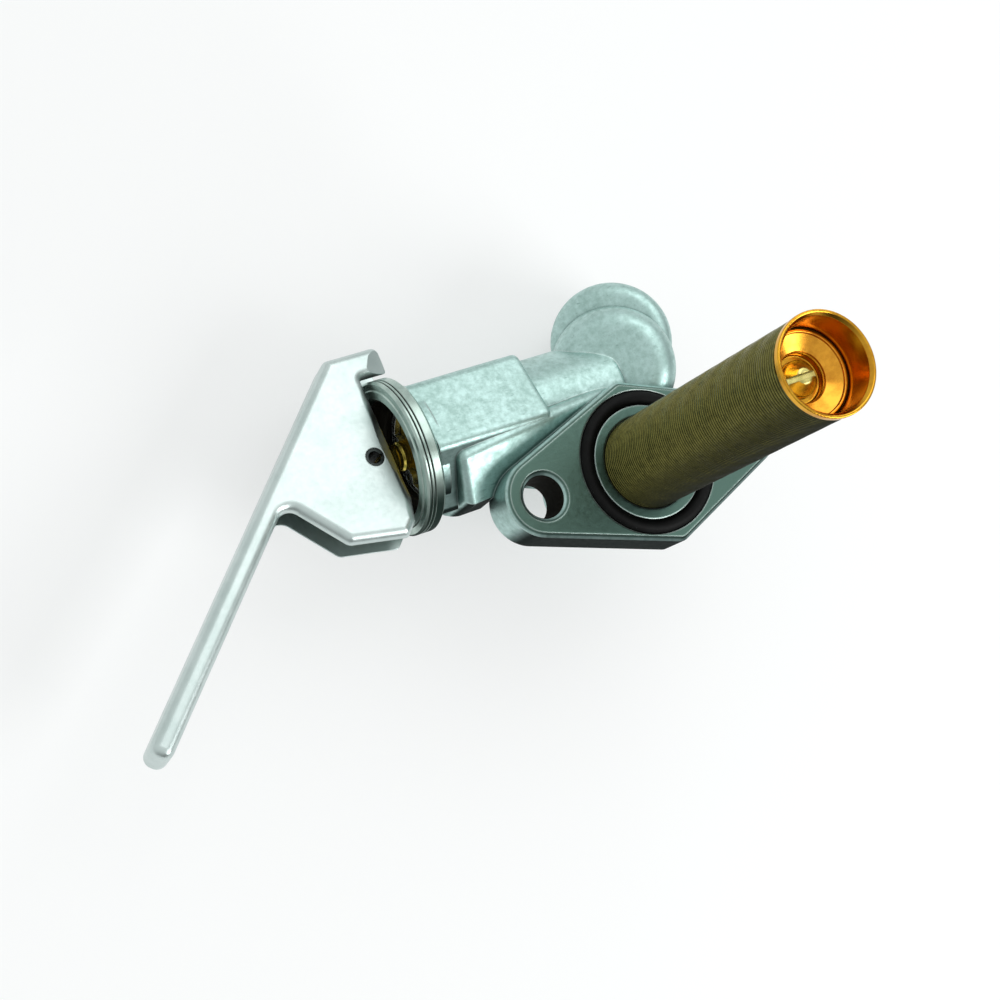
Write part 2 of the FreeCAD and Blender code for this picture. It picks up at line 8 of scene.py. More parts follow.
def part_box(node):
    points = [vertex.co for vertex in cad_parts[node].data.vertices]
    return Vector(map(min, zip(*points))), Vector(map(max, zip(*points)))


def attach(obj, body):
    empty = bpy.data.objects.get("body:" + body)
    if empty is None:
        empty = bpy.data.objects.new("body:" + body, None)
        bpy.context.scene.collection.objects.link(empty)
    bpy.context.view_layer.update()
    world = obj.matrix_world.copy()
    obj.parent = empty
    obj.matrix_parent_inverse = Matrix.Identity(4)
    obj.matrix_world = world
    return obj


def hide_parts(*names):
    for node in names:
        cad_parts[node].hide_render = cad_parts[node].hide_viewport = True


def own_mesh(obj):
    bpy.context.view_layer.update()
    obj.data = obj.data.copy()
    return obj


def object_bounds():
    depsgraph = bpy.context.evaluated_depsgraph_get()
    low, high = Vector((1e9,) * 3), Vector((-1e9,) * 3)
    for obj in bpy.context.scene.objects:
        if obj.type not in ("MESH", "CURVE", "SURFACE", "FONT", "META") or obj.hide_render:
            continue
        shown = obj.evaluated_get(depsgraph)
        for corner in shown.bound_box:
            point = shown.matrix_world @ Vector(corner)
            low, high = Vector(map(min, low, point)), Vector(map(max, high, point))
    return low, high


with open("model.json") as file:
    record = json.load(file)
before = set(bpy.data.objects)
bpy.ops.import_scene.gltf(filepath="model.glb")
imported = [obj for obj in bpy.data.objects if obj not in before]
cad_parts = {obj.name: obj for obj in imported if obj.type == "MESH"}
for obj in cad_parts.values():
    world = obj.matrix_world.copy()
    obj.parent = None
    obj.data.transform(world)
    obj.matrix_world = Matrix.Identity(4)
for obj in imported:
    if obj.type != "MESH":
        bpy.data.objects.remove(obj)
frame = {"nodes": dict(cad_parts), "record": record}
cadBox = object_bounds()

mm = 0.001
nodes = frame["nodes"]


def mountNamed(name):
    return next(mount for mount in frame["record"]["mounts"] if mount["name"] == name)


def middleOf(node):
    low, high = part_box(node)
    return (low + high) / 2


def linear(hexColour):
    # an sRGB hex value as the linear colour that a shader wants
    parts = [int(hexColour[i:i + 2], 16) / 255 for i in (1, 3, 5)]
    return [c / 12.92 if c <= 0.04045 else ((c + 0.055) / 1.055) ** 2.4 for c in parts] + [1.0]


def perMetre(size):
    # noise scale for a pattern whose features are this many millimetres across
    return 1.0 / (size * mm)


def addNode(tree, kind, settings=None, values=None, links=None):
    # settings are the node's own properties, values its plain sockets, links its linked ones
    node = tree.nodes.new(kind)
    for name, value in (settings or {}).items():
        setattr(node, name, value)
    for socket, value in (values or {}).items():
        node.inputs[socket].default_value = value
    for socket, source in (links or {}).items():
        tree.links.new(source, node.inputs[socket])
    return node


def setRamp(node, stops):
    ramp = node.color_ramp
    while len(ramp.elements) > len(stops):
        ramp.elements.remove(ramp.elements[-1])
    while len(ramp.elements) < len(stops):
        ramp.elements.new(1.0)
    for element, (position, hexColour) in zip(ramp.elements, stops):
        element.position = position
        element.color = linear(hexColour)


# camera, at the photograph's place
camera = {
    "eye": (-163.02, -25.17, 282.68),      # mm in the part's own frame
    "aim": (-22.7, 2.7, -10.6),
    "pictureUp": (0.285, 0.932, 0.225),
    "lens": 71.23,
    "sensor": 36.0,
    "nearest": 10.0,                       # mm
}


def placeCamera():
    eye = Vector(camera["eye"]) * mm
    forward = (Vector(camera["aim"]) * mm - eye).normalized()
    right = forward.cross(Vector(camera["pictureUp"])).normalized()
    upward = right.cross(forward)
    data = bpy.data.cameras.new("photoCamera")
    data.lens = camera["lens"]
    data.sensor_width = camera["sensor"]
    data.clip_start = camera["nearest"] * mm
    obj = bpy.data.objects.new("photoCamera", data)
    turned = Matrix((right, upward, -forward)).transposed()
    obj.matrix_world = Matrix.Translation(eye) @ turned.to_4x4()
    bpy.context.collection.objects.link(obj)
    bpy.context.scene.camera = obj


placeCamera()
print("camera placed")


# one helix tree serves the filter's wire and the thread in the outlet
def helixTree():
    tree = bpy.data.node_groups.new("wireHelix", "GeometryNodeTree")
    sockets = (("Turns", "NodeSocketFloat"), ("Radius", "NodeSocketFloat"), ("Length", "NodeSocketFloat"),
               ("Wire Radius", "NodeSocketFloat"), ("Steps", "NodeSocketInt"), ("Sides", "NodeSocketInt"),
               ("Material", "NodeSocketMaterial"))
    for name, kind in sockets:
        tree.interface.new_socket(name, in_out="INPUT", socket_type=kind)
    tree.interface.new_socket("Geometry", in_out="OUTPUT", socket_type="NodeSocketGeometry")
    given = addNode(tree, "NodeGroupInput").outputs
    helix = addNode(tree, "GeometryNodeCurveSpiral", links={
        "Resolution": given["Steps"], "Rotations": given["Turns"], "Start Radius": given["Radius"],
        "End Radius": given["Radius"], "Height": given["Length"]})
    section = addNode(tree, "GeometryNodeCurvePrimitiveCircle", links={
        "Resolution": given["Sides"], "Radius": given["Wire Radius"]})
    wire = addNode(tree, "GeometryNodeCurveToMesh", values={"Fill Caps": True}, links={
        "Curve": helix.outputs["Curve"], "Profile Curve": section.outputs["Curve"]})
    smooth = addNode(tree, "GeometryNodeSetShadeSmooth", links={"Geometry": wire.outputs["Mesh"]})
    real = addNode(tree, "GeometryNodeRealizeInstances", links={"Geometry": smooth.outputs["Geometry"]})
    painted = addNode(tree, "GeometryNodeSetMaterial", links={
        "Geometry": real.outputs["Geometry"], "Material": given["Material"]})
    addNode(tree, "NodeGroupOutput", links={"Geometry": painted.outputs["Geometry"]})
    return tree


def helixPiece(name, tree, look, material, foot):
    # foot places the helix, which starts at the origin and climbs along Z, in the part
    wireRadius = look["wireThick"] / 2
    length = look["length"] - look["wireThick"]
    inputs = {
        "Turns": length / look["pitch"],
        "Radius": (look["radius"] - wireRadius) * mm,
        "Length": length * mm,
        "Wire Radius": wireRadius * mm,
        "Steps": look["stepsPerTurn"],
        "Sides": look["wireSides"],
        "Material": material,
    }
    obj = bpy.data.objects.new(name, bpy.data.meshes.new(name))
    bpy.context.collection.objects.link(obj)
    modifier = obj.modifiers.new("build", "NODES")
    modifier.node_group = tree
    for item in tree.interface.items_tree:
        if item.in_out == "INPUT":
            modifier[item.identifier] = inputs[item.name]
    shape = bpy.data.meshes.new_from_object(obj.evaluated_get(bpy.context.evaluated_depsgraph_get()))
    obj.modifiers.remove(modifier)
    shape.transform(foot @ Matrix.Translation((0, 0, wireRadius * mm)))
    obj.data = shape
    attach(obj, "housing")
    print(name, "has", len(shape.polygons), "faces")
    return obj


winding = {
    "wireThick": 0.5,          # mm, one brass wire wound round the filter's core
    "pitch": 0.62,             # from one turn to the next, as counted on the photograph
    "radius": 7.85,            # over the wire
    "length": 56.0,
    "stepsPerTurn": 72,
    "wireSides": 8,
    "foot": -0.55,             # its lower end, from the face that lies on the tank
}


def filterWinding(tree, material):
    foot = Matrix.Translation((0, 0, winding["foot"] * mm))
    obj = helixPiece("windingWire", tree, winding, material, foot)
    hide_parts("filter_winding")


portThread = {
    "wireThick": 0.9,          # mm, a ridge that is half sunk in the port's wall
    "pitch": 1.5,
    "radius": 6.6,
    "length": 9.6,
    "stepsPerTurn": 96,
    "wireSides": 6,
}


def outletThread(tree, material):
    port = mountNamed("outlet_port")
    axis = Vector(port["axis"]).normalized()
    start = Vector(port["pos_m"]) - axis * portThread["length"] / 2 * mm
    foot = Matrix.Translation(start) @ axis.to_track_quat("Z", "Y").to_matrix().to_4x4()
    helixPiece("portThread", tree, portThread, material, foot)


# In the looks below lengths are in mm, and a fade is a map's own values: where on its input it
# begins and ends, and how far it goes. The finest patterns are coarser than real, so that they show.

grimeAndShade = {
    "roughens": 0.4,           # what a full mask of grime and painted shade adds to the metal's roughness
    "specular": 0.1,           # it hardly shines, even along the surface
}


def newMaterial(name):
    material = bpy.data.materials.new(name)
    material.use_nodes = True
    material.node_tree.nodes.clear()
    return material, material.node_tree


def finishMaterial(tree, shader):
    addNode(tree, "ShaderNodeOutputMaterial", links={"Surface": shader.outputs[0]})


def layColours(tree, ground, layers):
    # each layer is a colour with the share of it that shows, laid over those before
    for hexColour, share in layers:
        ground = addNode(tree, "ShaderNodeMix", {"data_type": "RGBA"}, {7: linear(hexColour)},
                         {0: share, 6: ground}).outputs[2]
    return ground


def shutIn(tree, reach, fade):
    # grows where another face stands within reach, as in inner corners and hollows
    clear = addNode(tree, "ShaderNodeAmbientOcclusion", {"samples": 8}, {"Distance": reach * mm})
    return addNode(tree, "ShaderNodeMapRange", values=fade,
                   links={"Value": clear.outputs["AO"]}).outputs["Result"]


def paintedUndersideShade(tree, fade):
    # painted shade: the side that faces -Y is made near black and matt,
    # in place of the shade that a white floor can't give
    faces = addNode(tree, "ShaderNodeTexCoord").outputs["Normal"]
    parts = addNode(tree, "ShaderNodeSeparateXYZ", links={"Vector": faces})
    return addNode(tree, "ShaderNodeMapRange", {"interpolation_type": "SMOOTHSTEP"}, fade,
                   {"Value": parts.outputs["Y"]}).outputs["Result"]


def darkMattMetal(tree, darkMattShare, colour, rough, normal):
    # metal where the mask is thin, matt and dark where it is thick; the mask holds grime and painted shade
    bare = addNode(tree, "ShaderNodeMath", {"operation": "SUBTRACT"}, {0: 1.0}, {1: darkMattShare})
    matt = addNode(tree, "ShaderNodeMath", {"operation": "MULTIPLY_ADD"}, {1: grimeAndShade["roughens"]},
                   {0: darkMattShare, 2: rough})
    return addNode(tree, "ShaderNodeBsdfPrincipled", values={"Specular IOR Level": grimeAndShade["specular"]}, links={
        "Base Color": colour, "Metallic": bare.outputs["Value"], "Roughness": matt.outputs["Value"],
        "Normal": normal})


castAluminiumLook = {
    "bright": "#b9d5d1",
    "dull": "#a0bdb7",
    "mottle": 1.0,                 # small patches
    "cloud": 8.0,                  # large patches
    "cloudShare": 0.5,
    "dullAt": 0.58,                # of the sum of both
    "brightAt": 0.9,
    "fleck": "#6d8882",            # marks where the metal flowed in the die
    "fleckLong": 2.4,
    "fleckWide": 0.5,
    "fleckTilt": (0.5, 0.3, 0.9),
    "fleckFade": {"From Min": 0.62, "From Max": 0.76, "To Max": 0.5},
    "milled": "#5a746b",           # the flat face that lies on the tank
    "milledFade": {"From Min": -0.45 * mm, "From Max": -0.25 * mm},
    "edge": "#e4f0ed",             # tumbled corners, rubbed bright
    "softCorner": 0.5,
    "edgeFade": {"From Min": 0.99, "From Max": 0.86, "To Max": 0.7},
    "crease": "#1d3833",           # dirt and painted shade in the inner corners
    "creaseReach": 0.9,
    "creaseFade": {"From Min": 0.85, "From Max": 0.45, "To Max": 0.75},
    "recess": "#3a5550",           # painted shade in hollows
    "recessReach": 5.0,
    "recessFade": {"From Min": 0.75, "From Max": 0.35, "To Max": 0.5},
    "low": "#0b1815",              # painted shade on the side that faces -Y
    "lowFade": {"From Min": -0.42, "From Max": -0.8},
    "inside": "#15130c",           # painted shade inside the bore and the bolt holes
    "boreRadius": 8.8,             # about the barrel's axis, up to the valve seat
    "mouthStep": 1.4,              # that the mouth is wider
    "mouthDeep": 4.2,
    "pastWall": 0.1,               # that the painted shade reaches past a hole's wall
    "roughFade": {"From Min": 0.3, "From Max": 0.7, "To Min": 0.48, "To Max": 0.34},
    "dimpleHigh": 0.12,            # of the small patches
    "grain": 0.3,                  # blasted skin
    "grainHigh": 0.04,
    "relief": 0.25,                # strength of both
}


def castSkin(tree, place, mottle):
    # grey patches of two sizes
    look = castAluminiumLook
    cloud = addNode(tree, "ShaderNodeTexNoise", values={"Scale": perMetre(look["cloud"]), "Detail": 2.0},
                    links={"Vector": place})
    patches = addNode(tree, "ShaderNodeMath", {"operation": "MULTIPLY_ADD"}, {1: look["cloudShare"]},
                      {0: cloud.outputs["Fac"], 2: mottle})
    skin = addNode(tree, "ShaderNodeValToRGB", links={"Fac": patches.outputs["Value"]})
    setRamp(skin, [(look["dullAt"], look["dull"]), (look["brightAt"], look["bright"])])
    return skin.outputs["Color"]


def castFlecks(tree, place):
    look = castAluminiumLook
    fine = perMetre(look["fleckWide"])
    along = addNode(tree, "ShaderNodeMapping", values={
        "Rotation": look["fleckTilt"], "Scale": (perMetre(look["fleckLong"]), fine, fine)},
        links={"Vector": place})
    flecks = addNode(tree, "ShaderNodeTexNoise", values={"Scale": 1.0, "Detail": 3.0, "Roughness": 0.6},
                     links={"Vector": along.outputs["Vector"]})
    return addNode(tree, "ShaderNodeMapRange", values=look["fleckFade"],
                   links={"Value": flecks.outputs["Fac"]}).outputs["Result"]


def rubbedCorners(tree, soft):
    # the corner's rounded normal leaves the face's own
    flat = addNode(tree, "ShaderNodeNewGeometry").outputs["Normal"]
    bend = addNode(tree, "ShaderNodeVectorMath", {"operation": "DOT_PRODUCT"}, links={0: soft, 1: flat})
    return addNode(tree, "ShaderNodeMapRange", values=castAluminiumLook["edgeFade"],
                   links={"Value": bend.outputs["Value"]}).outputs["Result"]


def inBarrel(tree, place, along):
    # painted shade: the bore is dark from the wider mouth to the valve seat
    look = castAluminiumLook
    axis = middleOf("thrust_collar")
    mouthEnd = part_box("thrust_collar")[0].x + look["mouthDeep"] * mm
    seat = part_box("valve_seat")[0].x + look["pastWall"] * mm
    across = addNode(tree, "ShaderNodeVectorMath", {"operation": "MULTIPLY_ADD"},
                     {1: (0, 1, 1), 2: (0, -axis.y, -axis.z)}, {0: place})
    out = addNode(tree, "ShaderNodeVectorMath", {"operation": "LENGTH"}, links={0: across.outputs["Vector"]})
    inMouth = addNode(tree, "ShaderNodeMath", {"operation": "LESS_THAN"}, {1: mouthEnd}, {0: along})
    wall = addNode(tree, "ShaderNodeMath", {"operation": "MULTIPLY_ADD"},
                   {1: look["mouthStep"] * mm, 2: look["boreRadius"] * mm}, {0: inMouth.outputs["Value"]})
    near = addNode(tree, "ShaderNodeMath", {"operation": "LESS_THAN"},
                   links={0: out.outputs["Value"], 1: wall.outputs["Value"]})
    short = addNode(tree, "ShaderNodeMath", {"operation": "LESS_THAN"}, {1: seat}, {0: along})
    return addNode(tree, "ShaderNodeMath", {"operation": "MULTIPLY"},
                   links={0: near.outputs["Value"], 1: short.outputs["Value"]}).outputs["Value"]


def inBoltHoles(tree, place):
    # painted shade in the two bolt holes, which lie on the X axis
    bolts = mountNamed("tank_bolts")["dims"]
    wall = (bolts["hole_r_mm"] + castAluminiumLook["pastWall"]) * mm
    mirrored = addNode(tree, "ShaderNodeVectorMath", {"operation": "ABSOLUTE"}, links={0: place})
    across = addNode(tree, "ShaderNodeVectorMath", {"operation": "MULTIPLY_ADD"},
                     {1: (1, 1, 0), 2: (-bolts["spacing_x_mm"] / 2 * mm, 0, 0)},
                     {0: mirrored.outputs["Vector"]})
    out = addNode(tree, "ShaderNodeVectorMath", {"operation": "LENGTH"}, links={0: across.outputs["Vector"]})
    return addNode(tree, "ShaderNodeMath", {"operation": "LESS_THAN"}, {1: wall},
                   {0: out.outputs["Value"]}).outputs["Value"]


def castAluminium():
    # pressure die-cast aluminium, tumbled: soft bright corners, a mottled grey skin and a fine grain; dirt
    # and painted shade where two faces meet, painted shade in hollows, the bore, the bolt holes and on the
    # side that faces -Y; the tank face is milled after casting
    look = castAluminiumLook
    material, tree = newMaterial("die cast aluminium")
    place = addNode(tree, "ShaderNodeTexCoord").outputs["Object"]
    parts = addNode(tree, "ShaderNodeSeparateXYZ", links={"Vector": place}).outputs
    mottle = addNode(tree, "ShaderNodeTexNoise", values={
        "Scale": perMetre(look["mottle"]), "Detail": 5.0, "Roughness": 0.65},
        links={"Vector": place}).outputs["Fac"]
    soft = addNode(tree, "ShaderNodeBevel", {"samples": 8},
                   {"Radius": look["softCorner"] * mm}).outputs["Normal"]
    milled = addNode(tree, "ShaderNodeMapRange", values=look["milledFade"], links={"Value": parts["Z"]})
    under = paintedUndersideShade(tree, look["lowFade"])
    inside = addNode(tree, "ShaderNodeMath", {"operation": "MAXIMUM"},
                     links={0: inBarrel(tree, place, parts["X"]), 1: inBoltHoles(tree, place)})
    darkMattShare = addNode(tree, "ShaderNodeMath", {"operation": "MAXIMUM"},
                     links={0: under, 1: inside.outputs["Value"]})
    colour = layColours(tree, castSkin(tree, place, mottle), [
        (look["fleck"], castFlecks(tree, place)),
        (look["milled"], milled.outputs["Result"]),
        (look["edge"], rubbedCorners(tree, soft)),
        (look["crease"], shutIn(tree, look["creaseReach"], look["creaseFade"])),
        (look["recess"], shutIn(tree, look["recessReach"], look["recessFade"])),
        (look["low"], under),
        (look["inside"], inside.outputs["Value"])])
    rough = addNode(tree, "ShaderNodeMapRange", values=look["roughFade"], links={"Value": mottle})
    grain = addNode(tree, "ShaderNodeTexNoise", values={
        "Scale": perMetre(look["grain"]), "Detail": 3.0, "Roughness": 0.6}, links={"Vector": place})
    dimples = addNode(tree, "ShaderNodeBump", values={
        "Strength": look["relief"], "Distance": look["dimpleHigh"] * mm},
        links={"Height": mottle, "Normal": soft})
    bump = addNode(tree, "ShaderNodeBump", values={
        "Strength": look["relief"], "Distance": look["grainHigh"] * mm},
        links={"Height": grain.outputs["Fac"], "Normal": dimples.outputs["Normal"]})
    finishMaterial(tree, darkMattMetal(tree, darkMattShare.outputs["Value"], colour, rough.outputs["Result"],
                                     bump.outputs["Normal"]))
    return material


# what every worked metal starts from, before its own values below
workedMetalLook = {
    "wear": 0.6,                   # share of the worn colour in its patches
    "wearFade": {"From Min": 0.42, "From Max": 0.7},
    "markDepth": 0.12,             # strength of the marks
    "markHigh": 0.03,
    "markFade": {"From Min": 0.3, "From Max": 0.75},
    "smoothest": 0.9,              # times the roughness
    "roughest": 1.2,
    "corner": 0.1,                 # how round its sharp corners look
    "grimeAndShade": "#14140c",            # dirt and painted shade in its inner corners
    "grimeAndShadeReach": 0.4,
    "grimeAndShadeFade": {"From Min": 0.85, "From Max": 0.4, "To Max": 0.9},
}

# marks "barrel" and "filter" are a lathe's, about that axis; "hand" is scuffing in any direction
metals = {
    # satin and cool white, with soft pressed corners, and painted shade 3 mm deep inside its channel
    "nickel": {"name": "nickel plated pressed steel", "base": "#c9d5d3", "worn": "#aebfbc",
               "roughness": 0.33, "marks": "hand", "markSize": 0.8, "markDepth": 0.08, "blotch": 6.0,
               "corner": 0.2, "grimeAndShadeReach": 3.0},
    # pale grey-green zinc with rings of tool marks, and painted shade on the side that faces -Y
    "collar": {"name": "zinc plated turned steel", "base": "#b9cbc3", "worn": "#768c84",
               "roughness": 0.28, "marks": "barrel", "markSize": 0.22, "blotch": 3.0, "wear": 0.5,
               "corner": 0.15, "low": "#10231d", "lowFade": {"From Min": -0.25, "From Max": -0.8}},
    # bright steel with grey patches
    "springSteel": {"name": "bright spring steel", "base": "#b9bfbb", "worn": "#5d625f",
                    "roughness": 0.25, "marks": "hand", "markSize": 0.5, "blotch": 2.0, "wear": 0.4},
    # oiled and near black
    "blackSteel": {"name": "blackened spring steel", "base": "#3c4140", "worn": "#1b1f1f",
                   "roughness": 0.28, "marks": "hand", "markSize": 0.4, "blotch": 1.2, "wear": 0.7},
    # clean yellow, where the seals wipe it
    "stemBrass": {"name": "turned brass rod", "base": "#ecd468", "worn": "#a8963e", "roughness": 0.24,
                  "marks": "barrel", "markSize": 0.2, "blotch": 2.5, "wear": 0.4, "grimeAndShadeReach": 0.3},
    # browned by fuel
    "bushBrass": {"name": "dull turned brass", "base": "#c4a94c", "worn": "#6b5e30", "roughness": 0.28,
                  "marks": "barrel", "markSize": 0.25, "blotch": 2.0, "grimeAndShadeReach": 0.6},
    # glossy gold with clouds of orange brown
    "capBrass": {"name": "drawn brass sheet, gold lacquered", "base": "#dfa634", "worn": "#9a5a1a",
                 "roughness": 0.17, "marks": "filter", "markSize": 0.3, "blotch": 3.0, "corner": 0.12,
                 "grimeAndShadeReach": 0.25},
    "capWasher": {"name": "pressed brass washer, gold lacquered", "base": "#f0a93a", "worn": "#b56f20",
                  "roughness": 0.2, "marks": "filter", "markSize": 0.25, "blotch": 2.0,
                  "grimeAndShadeReach": 0.2},
    # pale brass without lacquer
    "screwBrass": {"name": "turned brass screw", "base": "#e6d98c", "worn": "#9c9448", "roughness": 0.24,
                   "marks": "filter", "markSize": 0.25, "blotch": 1.4, "corner": 0.12,
                   "grimeAndShadeReach": 0.3},
    # olive brown, its shine broken by tarnish, with painted shade between its turns and on the side that
    # faces -Y
    "wireBrass": {"name": "tarnished brass wire", "base": "#74703c", "worn": "#3f3f20", "roughness": 0.2,
                  "marks": "hand", "markSize": 0.5, "blotch": 0.9, "corner": 0.0, "grimeAndShadeReach": 0.35,
                  "low": "#1b1d0e", "lowFade": {"From Min": -0.2, "From Max": -0.8}},
    # plain grey, dulled by stamping
    "washerSteel": {"name": "stamped steel washer", "base": "#9aa19d", "worn": "#5b625e",
                    "roughness": 0.35, "marks": "hand", "markSize": 0.4, "blotch": 2.0, "wear": 0.5,
                    "corner": 0.08},
}


def latheMarks(tree, place, about):
    # how far along the axis and how far out from it, so that a pattern on these runs round the piece
    axis = middleOf("thrust_collar") if about == "barrel" else middleOf("filter_cap")
    centred = addNode(tree, "ShaderNodeVectorMath", {"operation": "SUBTRACT"}, {1: axis}, {0: place})
    parts = addNode(tree, "ShaderNodeSeparateXYZ", links={"Vector": centred.outputs["Vector"]}).outputs
    along, first, second = ("X", "Y", "Z") if about == "barrel" else ("Z", "X", "Y")
    flat = addNode(tree, "ShaderNodeCombineXYZ", links={"X": parts[first], "Y": parts[second]})
    out = addNode(tree, "ShaderNodeVectorMath", {"operation": "LENGTH"}, links={0: flat.outputs["Vector"]})
    return addNode(tree, "ShaderNodeCombineXYZ",
                   links={"X": parts[along], "Y": out.outputs["Value"]}).outputs["Vector"]


def workedMetal(kind):
    # bright metal with cloudy tarnish, fine tool marks or scuffs, dirt and painted shade in its inner
    # corners, and for some metals painted shade on the side that faces -Y; its colours say which metal it is
    look = workedMetalLook | metals[kind]
    material, tree = newMaterial(look["name"])
    place = addNode(tree, "ShaderNodeTexCoord").outputs["Object"]
    clouds = addNode(tree, "ShaderNodeTexNoise", values={
        "Scale": perMetre(look["blotch"]), "Detail": 5.0, "Roughness": 0.6}, links={"Vector": place})
    worn = addNode(tree, "ShaderNodeMapRange", values=look["wearFade"] | {"To Max": look["wear"]},
                   links={"Value": clouds.outputs["Fac"]})
    metal = addNode(tree, "ShaderNodeMix", {"data_type": "RGBA"},
                    {6: linear(look["base"]), 7: linear(look["worn"])}, {0: worn.outputs["Result"]})
    markPlace = place if look["marks"] == "hand" else latheMarks(tree, place, look["marks"])
    marks = addNode(tree, "ShaderNodeTexNoise", values={
        "Scale": perMetre(look["markSize"]), "Detail": 3.0, "Roughness": 0.7}, links={"Vector": markPlace})
    rough = addNode(tree, "ShaderNodeMapRange", values=look["markFade"] | {
        "To Min": look["roughness"] * look["smoothest"], "To Max": look["roughness"] * look["roughest"]},
        links={"Value": marks.outputs["Fac"]})
    bump = addNode(tree, "ShaderNodeBump", values={
        "Strength": look["markDepth"], "Distance": look["markHigh"] * mm},
        links={"Height": marks.outputs["Fac"]})
    if look["corner"]:
        soft = addNode(tree, "ShaderNodeBevel", {"samples": 6}, {"Radius": look["corner"] * mm})
        tree.links.new(soft.outputs["Normal"], bump.inputs["Normal"])
    darkMattShare = shutIn(tree, look["grimeAndShadeReach"], look["grimeAndShadeFade"])
    layers = [(look["grimeAndShade"], darkMattShare)]
    if "low" in look:
        under = paintedUndersideShade(tree, look["lowFade"])
        layers.append((look["low"], under))
        darkMattShare = addNode(tree, "ShaderNodeMath", {"operation": "MAXIMUM"},
                         links={0: under, 1: darkMattShare}).outputs["Value"]
    colour = layColours(tree, metal.outputs[2], layers)
    finishMaterial(tree, darkMattMetal(tree, darkMattShare, colour, rough.outputs["Result"], bump.outputs["Normal"]))
    return material


nitrileLook = {
    "black": "#020202",
    "dusty": "#090b0a",
    "dust": 1.4,
    "blackAt": 0.45,
    "dustyAt": 0.75,
    "roughness": 0.55,
    "refraction": 1.5,
    "specular": 0.15,
    "skinHigh": 0.04,
    "relief": 0.15,
}


def nitrileRubber():
    # moulded black nitrile: near black, a dull sheen, dusty in places
    look = nitrileLook
    material, tree = newMaterial("moulded nitrile rubber")
    place = addNode(tree, "ShaderNodeTexCoord").outputs["Object"]
    dust = addNode(tree, "ShaderNodeTexNoise", values={"Scale": perMetre(look["dust"]), "Detail": 4.0},
                   links={"Vector": place})
    colour = addNode(tree, "ShaderNodeValToRGB", links={"Fac": dust.outputs["Fac"]})
    setRamp(colour, [(look["blackAt"], look["black"]), (look["dustyAt"], look["dusty"])])
    bump = addNode(tree, "ShaderNodeBump", values={
        "Strength": look["relief"], "Distance": look["skinHigh"] * mm},
        links={"Height": dust.outputs["Fac"]})
    finishMaterial(tree, addNode(tree, "ShaderNodeBsdfPrincipled", values={
        "Roughness": look["roughness"], "IOR": look["refraction"], "Specular IOR Level": look["specular"]},
        links={"Base Color": colour.outputs["Color"], "Normal": bump.outputs["Normal"]}))
    return material


acetalLook = {
    "turned acetal": ("#d8d1bb", "#e9e4d4"),           # its darker and its paler colour
    "dark brown acetal": ("#2b2613", "#4a4124"),
    "mottle": 3.0,
    "darkAt": 0.4,
    "paleAt": 0.7,
    "roughness": 0.38,
    "refraction": 1.48,
}


def acetalPlastic(name):
    # moulded or turned acetal: waxy and a little mottled; the dark brown kind on the filter's core is painted
    # shade for the gaps between the wire's turns, and the filter's base is dark brown too
    look = acetalLook
    dark, pale = look[name]
    material, tree = newMaterial(name)
    place = addNode(tree, "ShaderNodeTexCoord").outputs["Object"]
    cloud = addNode(tree, "ShaderNodeTexNoise", values={"Scale": perMetre(look["mottle"]), "Detail": 3.0},
                    links={"Vector": place})
    colour = addNode(tree, "ShaderNodeValToRGB", links={"Fac": cloud.outputs["Fac"]})
    setRamp(colour, [(look["darkAt"], dark), (look["paleAt"], pale)])
    finishMaterial(tree, addNode(tree, "ShaderNodeBsdfPrincipled", values={
        "Roughness": look["roughness"], "IOR": look["refraction"]},
        links={"Base Color": colour.outputs["Color"]}))
    return material


finishes = {
    "castAluminium": castAluminium(),
    "rubber": nitrileRubber(),
    "acetal": acetalPlastic("turned acetal"),
    "darkAcetal": acetalPlastic("dark brown acetal"),
}
for kind in metals:
    finishes[kind] = workedMetal(kind)

finishOf = {
    "body_casting": "castAluminium",
    "face_seal": "rubber", "bush_seal": "rubber", "stem_seals": "rubber", "valve_disc": "rubber",
    "thrust_collar": "collar",
    "valve_seat": "acetal", "filter_base": "darkAcetal", "filter_core": "darkAcetal",
    "guide_bush": "bushBrass", "cap_anchor": "bushBrass",
    "gland_washer": "washerSteel", "thrust_washer": "washerSteel",
    "snap_ring": "springSteel", "return_spring": "springSteel", "pivot_pin": "blackSteel",
    "stem": "stemBrass", "valve_screw": "stemBrass",
    "lever": "nickel",
    "filter_cap": "capBrass", "cap_washer": "capWasher", "cap_screw": "screwBrass",
}
for node, finish in finishOf.items():
    mesh = nodes[node].data
    mesh.materials.clear()
    mesh.materials.append(finishes[finish])
print("materials assigned to", len(finishOf), "nodes")


def shorteningSpring():
    # the spring's own copy, carried by the swivel body in place of the CAD spring
    obj = bpy.data.objects.new("coilSpring", nodes["return_spring"].data.copy())
    bpy.context.collection.objects.link(obj)
    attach(obj, "swivel")
    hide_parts("return_spring")
    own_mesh(obj)
    print("coilSpring has", len(obj.data.polygons), "faces")


shorteningSpring()
helix = helixTree()
filterWinding(helix, finishes["wireBrass"])
outletThread(helix, finishes["castAluminium"])


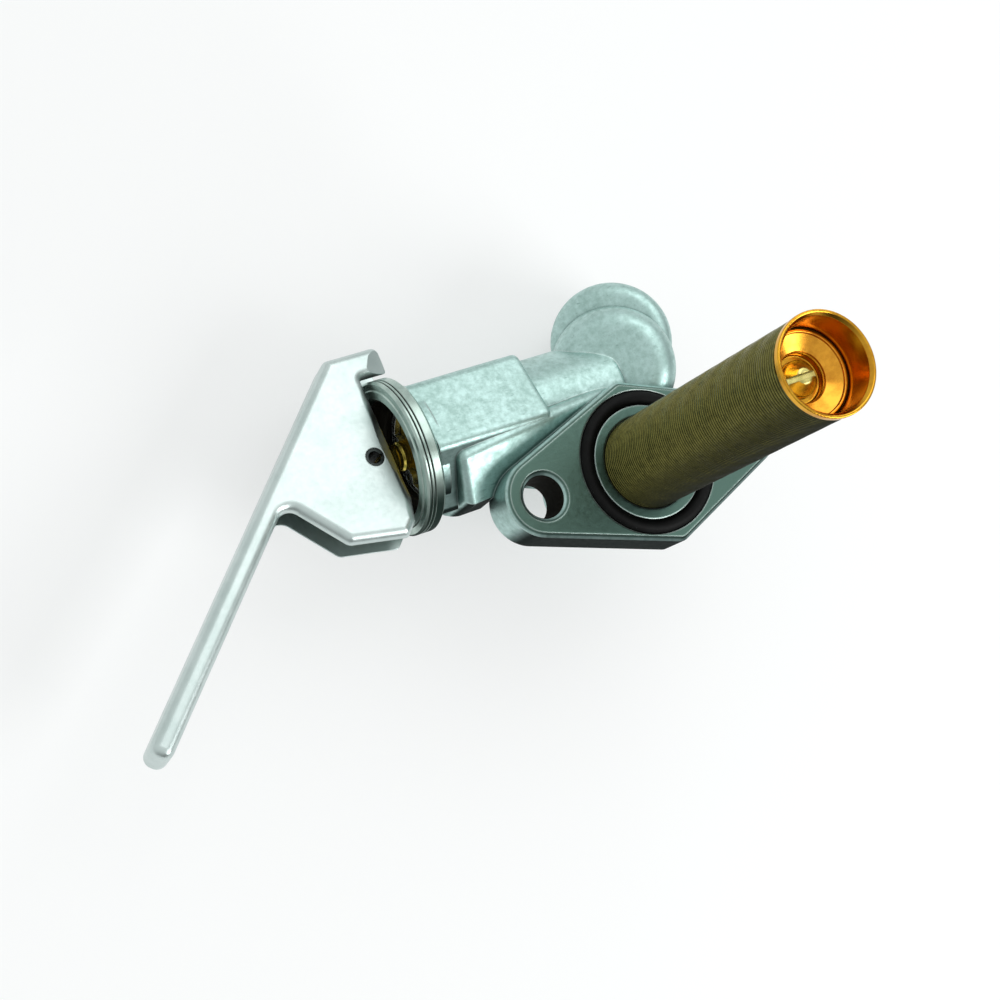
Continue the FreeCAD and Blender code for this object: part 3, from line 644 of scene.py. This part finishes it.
studio = {
    "floorGap": 0.3,               # mm under the part's lowest point
    "floorRadius": 6.0,            # m
    "wallHigh": 0.9,               # m, as high as a low view looks
    "wallSides": 64,
    "floorColour": "#f4f5f5",
    "floorGlow": 0.5,              # share of the floor that shows as plain white
    "roomColour": "#e6eae9",
    "roomFade": {"From Min": -0.5, "From Max": 0.8, "To Min": 0.06, "To Max": 1.0},
    "window": (-0.20, 0.61, 0.77),     # the brighter side of the room
    "lamps": (
        # name, direction from the part, distance, width and height in mm, watts
        ("topSoftbox", (0.38, 0.50, 0.78), 700, 520, 520, 0.98),
        ("sideSoftbox", (0.43, -0.62, 0.66), 700, 460, 320, 2.7),
    ),
}


def addLamp(name, direction, distance, width, height, power):
    data = bpy.data.lights.new(name, "AREA")
    data.shape = "RECTANGLE"
    data.size = width * mm
    data.size_y = height * mm
    data.energy = power
    obj = bpy.data.objects.new(name, data)
    away = Vector(direction).normalized()
    obj.location = away * distance * mm
    obj.rotation_euler = away.to_track_quat("Z", "Y").to_euler()
    bpy.context.collection.objects.link(obj)


def floorPaper():
    # matt white paper that looks whiter than the lamps make it and keeps the part's shadow;
    # metal and glass see it as the camera does
    material, tree = newMaterial("matt white floor")
    paper = addNode(tree, "ShaderNodeBsdfDiffuse", values={"Color": linear(studio["floorColour"])})
    white = addNode(tree, "ShaderNodeEmission", values={"Strength": 1.0})
    rays = addNode(tree, "ShaderNodeLightPath").outputs
    shiny = addNode(tree, "ShaderNodeMath", {"operation": "MAXIMUM"},
                    links={0: rays["Is Glossy Ray"], 1: rays["Is Transmission Ray"]})
    seen = addNode(tree, "ShaderNodeMath", {"operation": "MAXIMUM"},
                   links={0: rays["Is Camera Ray"], 1: shiny.outputs["Value"]})
    share = addNode(tree, "ShaderNodeMath", {"operation": "MULTIPLY"}, {1: studio["floorGlow"]},
                    {0: seen.outputs["Value"]})
    finishMaterial(tree, addNode(tree, "ShaderNodeMixShader", links={
        0: share.outputs["Value"], 1: paper.outputs["BSDF"], 2: white.outputs["Emission"]}))
    return material


def roomLight():
    # an even room that is brighter towards its window side
    world = bpy.data.worlds.new("room")
    bpy.context.scene.world = world
    world.use_nodes = True
    tree = world.node_tree
    tree.nodes.clear()
    towards = addNode(tree, "ShaderNodeTexCoord").outputs["Generated"]
    facing = addNode(tree, "ShaderNodeVectorMath", {"operation": "DOT_PRODUCT"}, {1: studio["window"]},
                     {0: towards})
    strength = addNode(tree, "ShaderNodeMapRange", {"interpolation_type": "SMOOTHSTEP"},
                       studio["roomFade"], {"Value": facing.outputs["Value"]})
    light = addNode(tree, "ShaderNodeBackground", values={"Color": linear(studio["roomColour"])},
                    links={"Strength": strength.outputs["Result"]})
    addNode(tree, "ShaderNodeOutputWorld", links={"Surface": light.outputs["Background"]})


def buildStudio():
    # a round floor with a low wall on its far rim, so that a low view sees no room behind it
    z = cadBox[0][2] - studio["floorGap"] * mm
    count = studio["wallSides"]
    around = [Matrix.Rotation(2 * math.pi * i / count, 3, "Z") @ Vector((studio["floorRadius"], 0, 0))
              for i in range(count)]
    corners = [(p.x, p.y, z) for p in around] + [(p.x, p.y, z + studio["wallHigh"]) for p in around]
    walls = [(i, (i + 1) % count, count + (i + 1) % count, count + i) for i in range(count)]
    mesh = bpy.data.meshes.new("studioFloor")
    mesh.from_pydata(corners, [], [tuple(range(count))] + walls)
    floor = bpy.data.objects.new("studioFloor", mesh)
    bpy.context.collection.objects.link(floor)
    mesh.materials.append(floorPaper())
    for lamp in studio["lamps"]:
        addLamp(*lamp)
    roomLight()
    bpy.context.scene.view_settings.view_transform = "Standard"


buildStudio()
print("studio built")
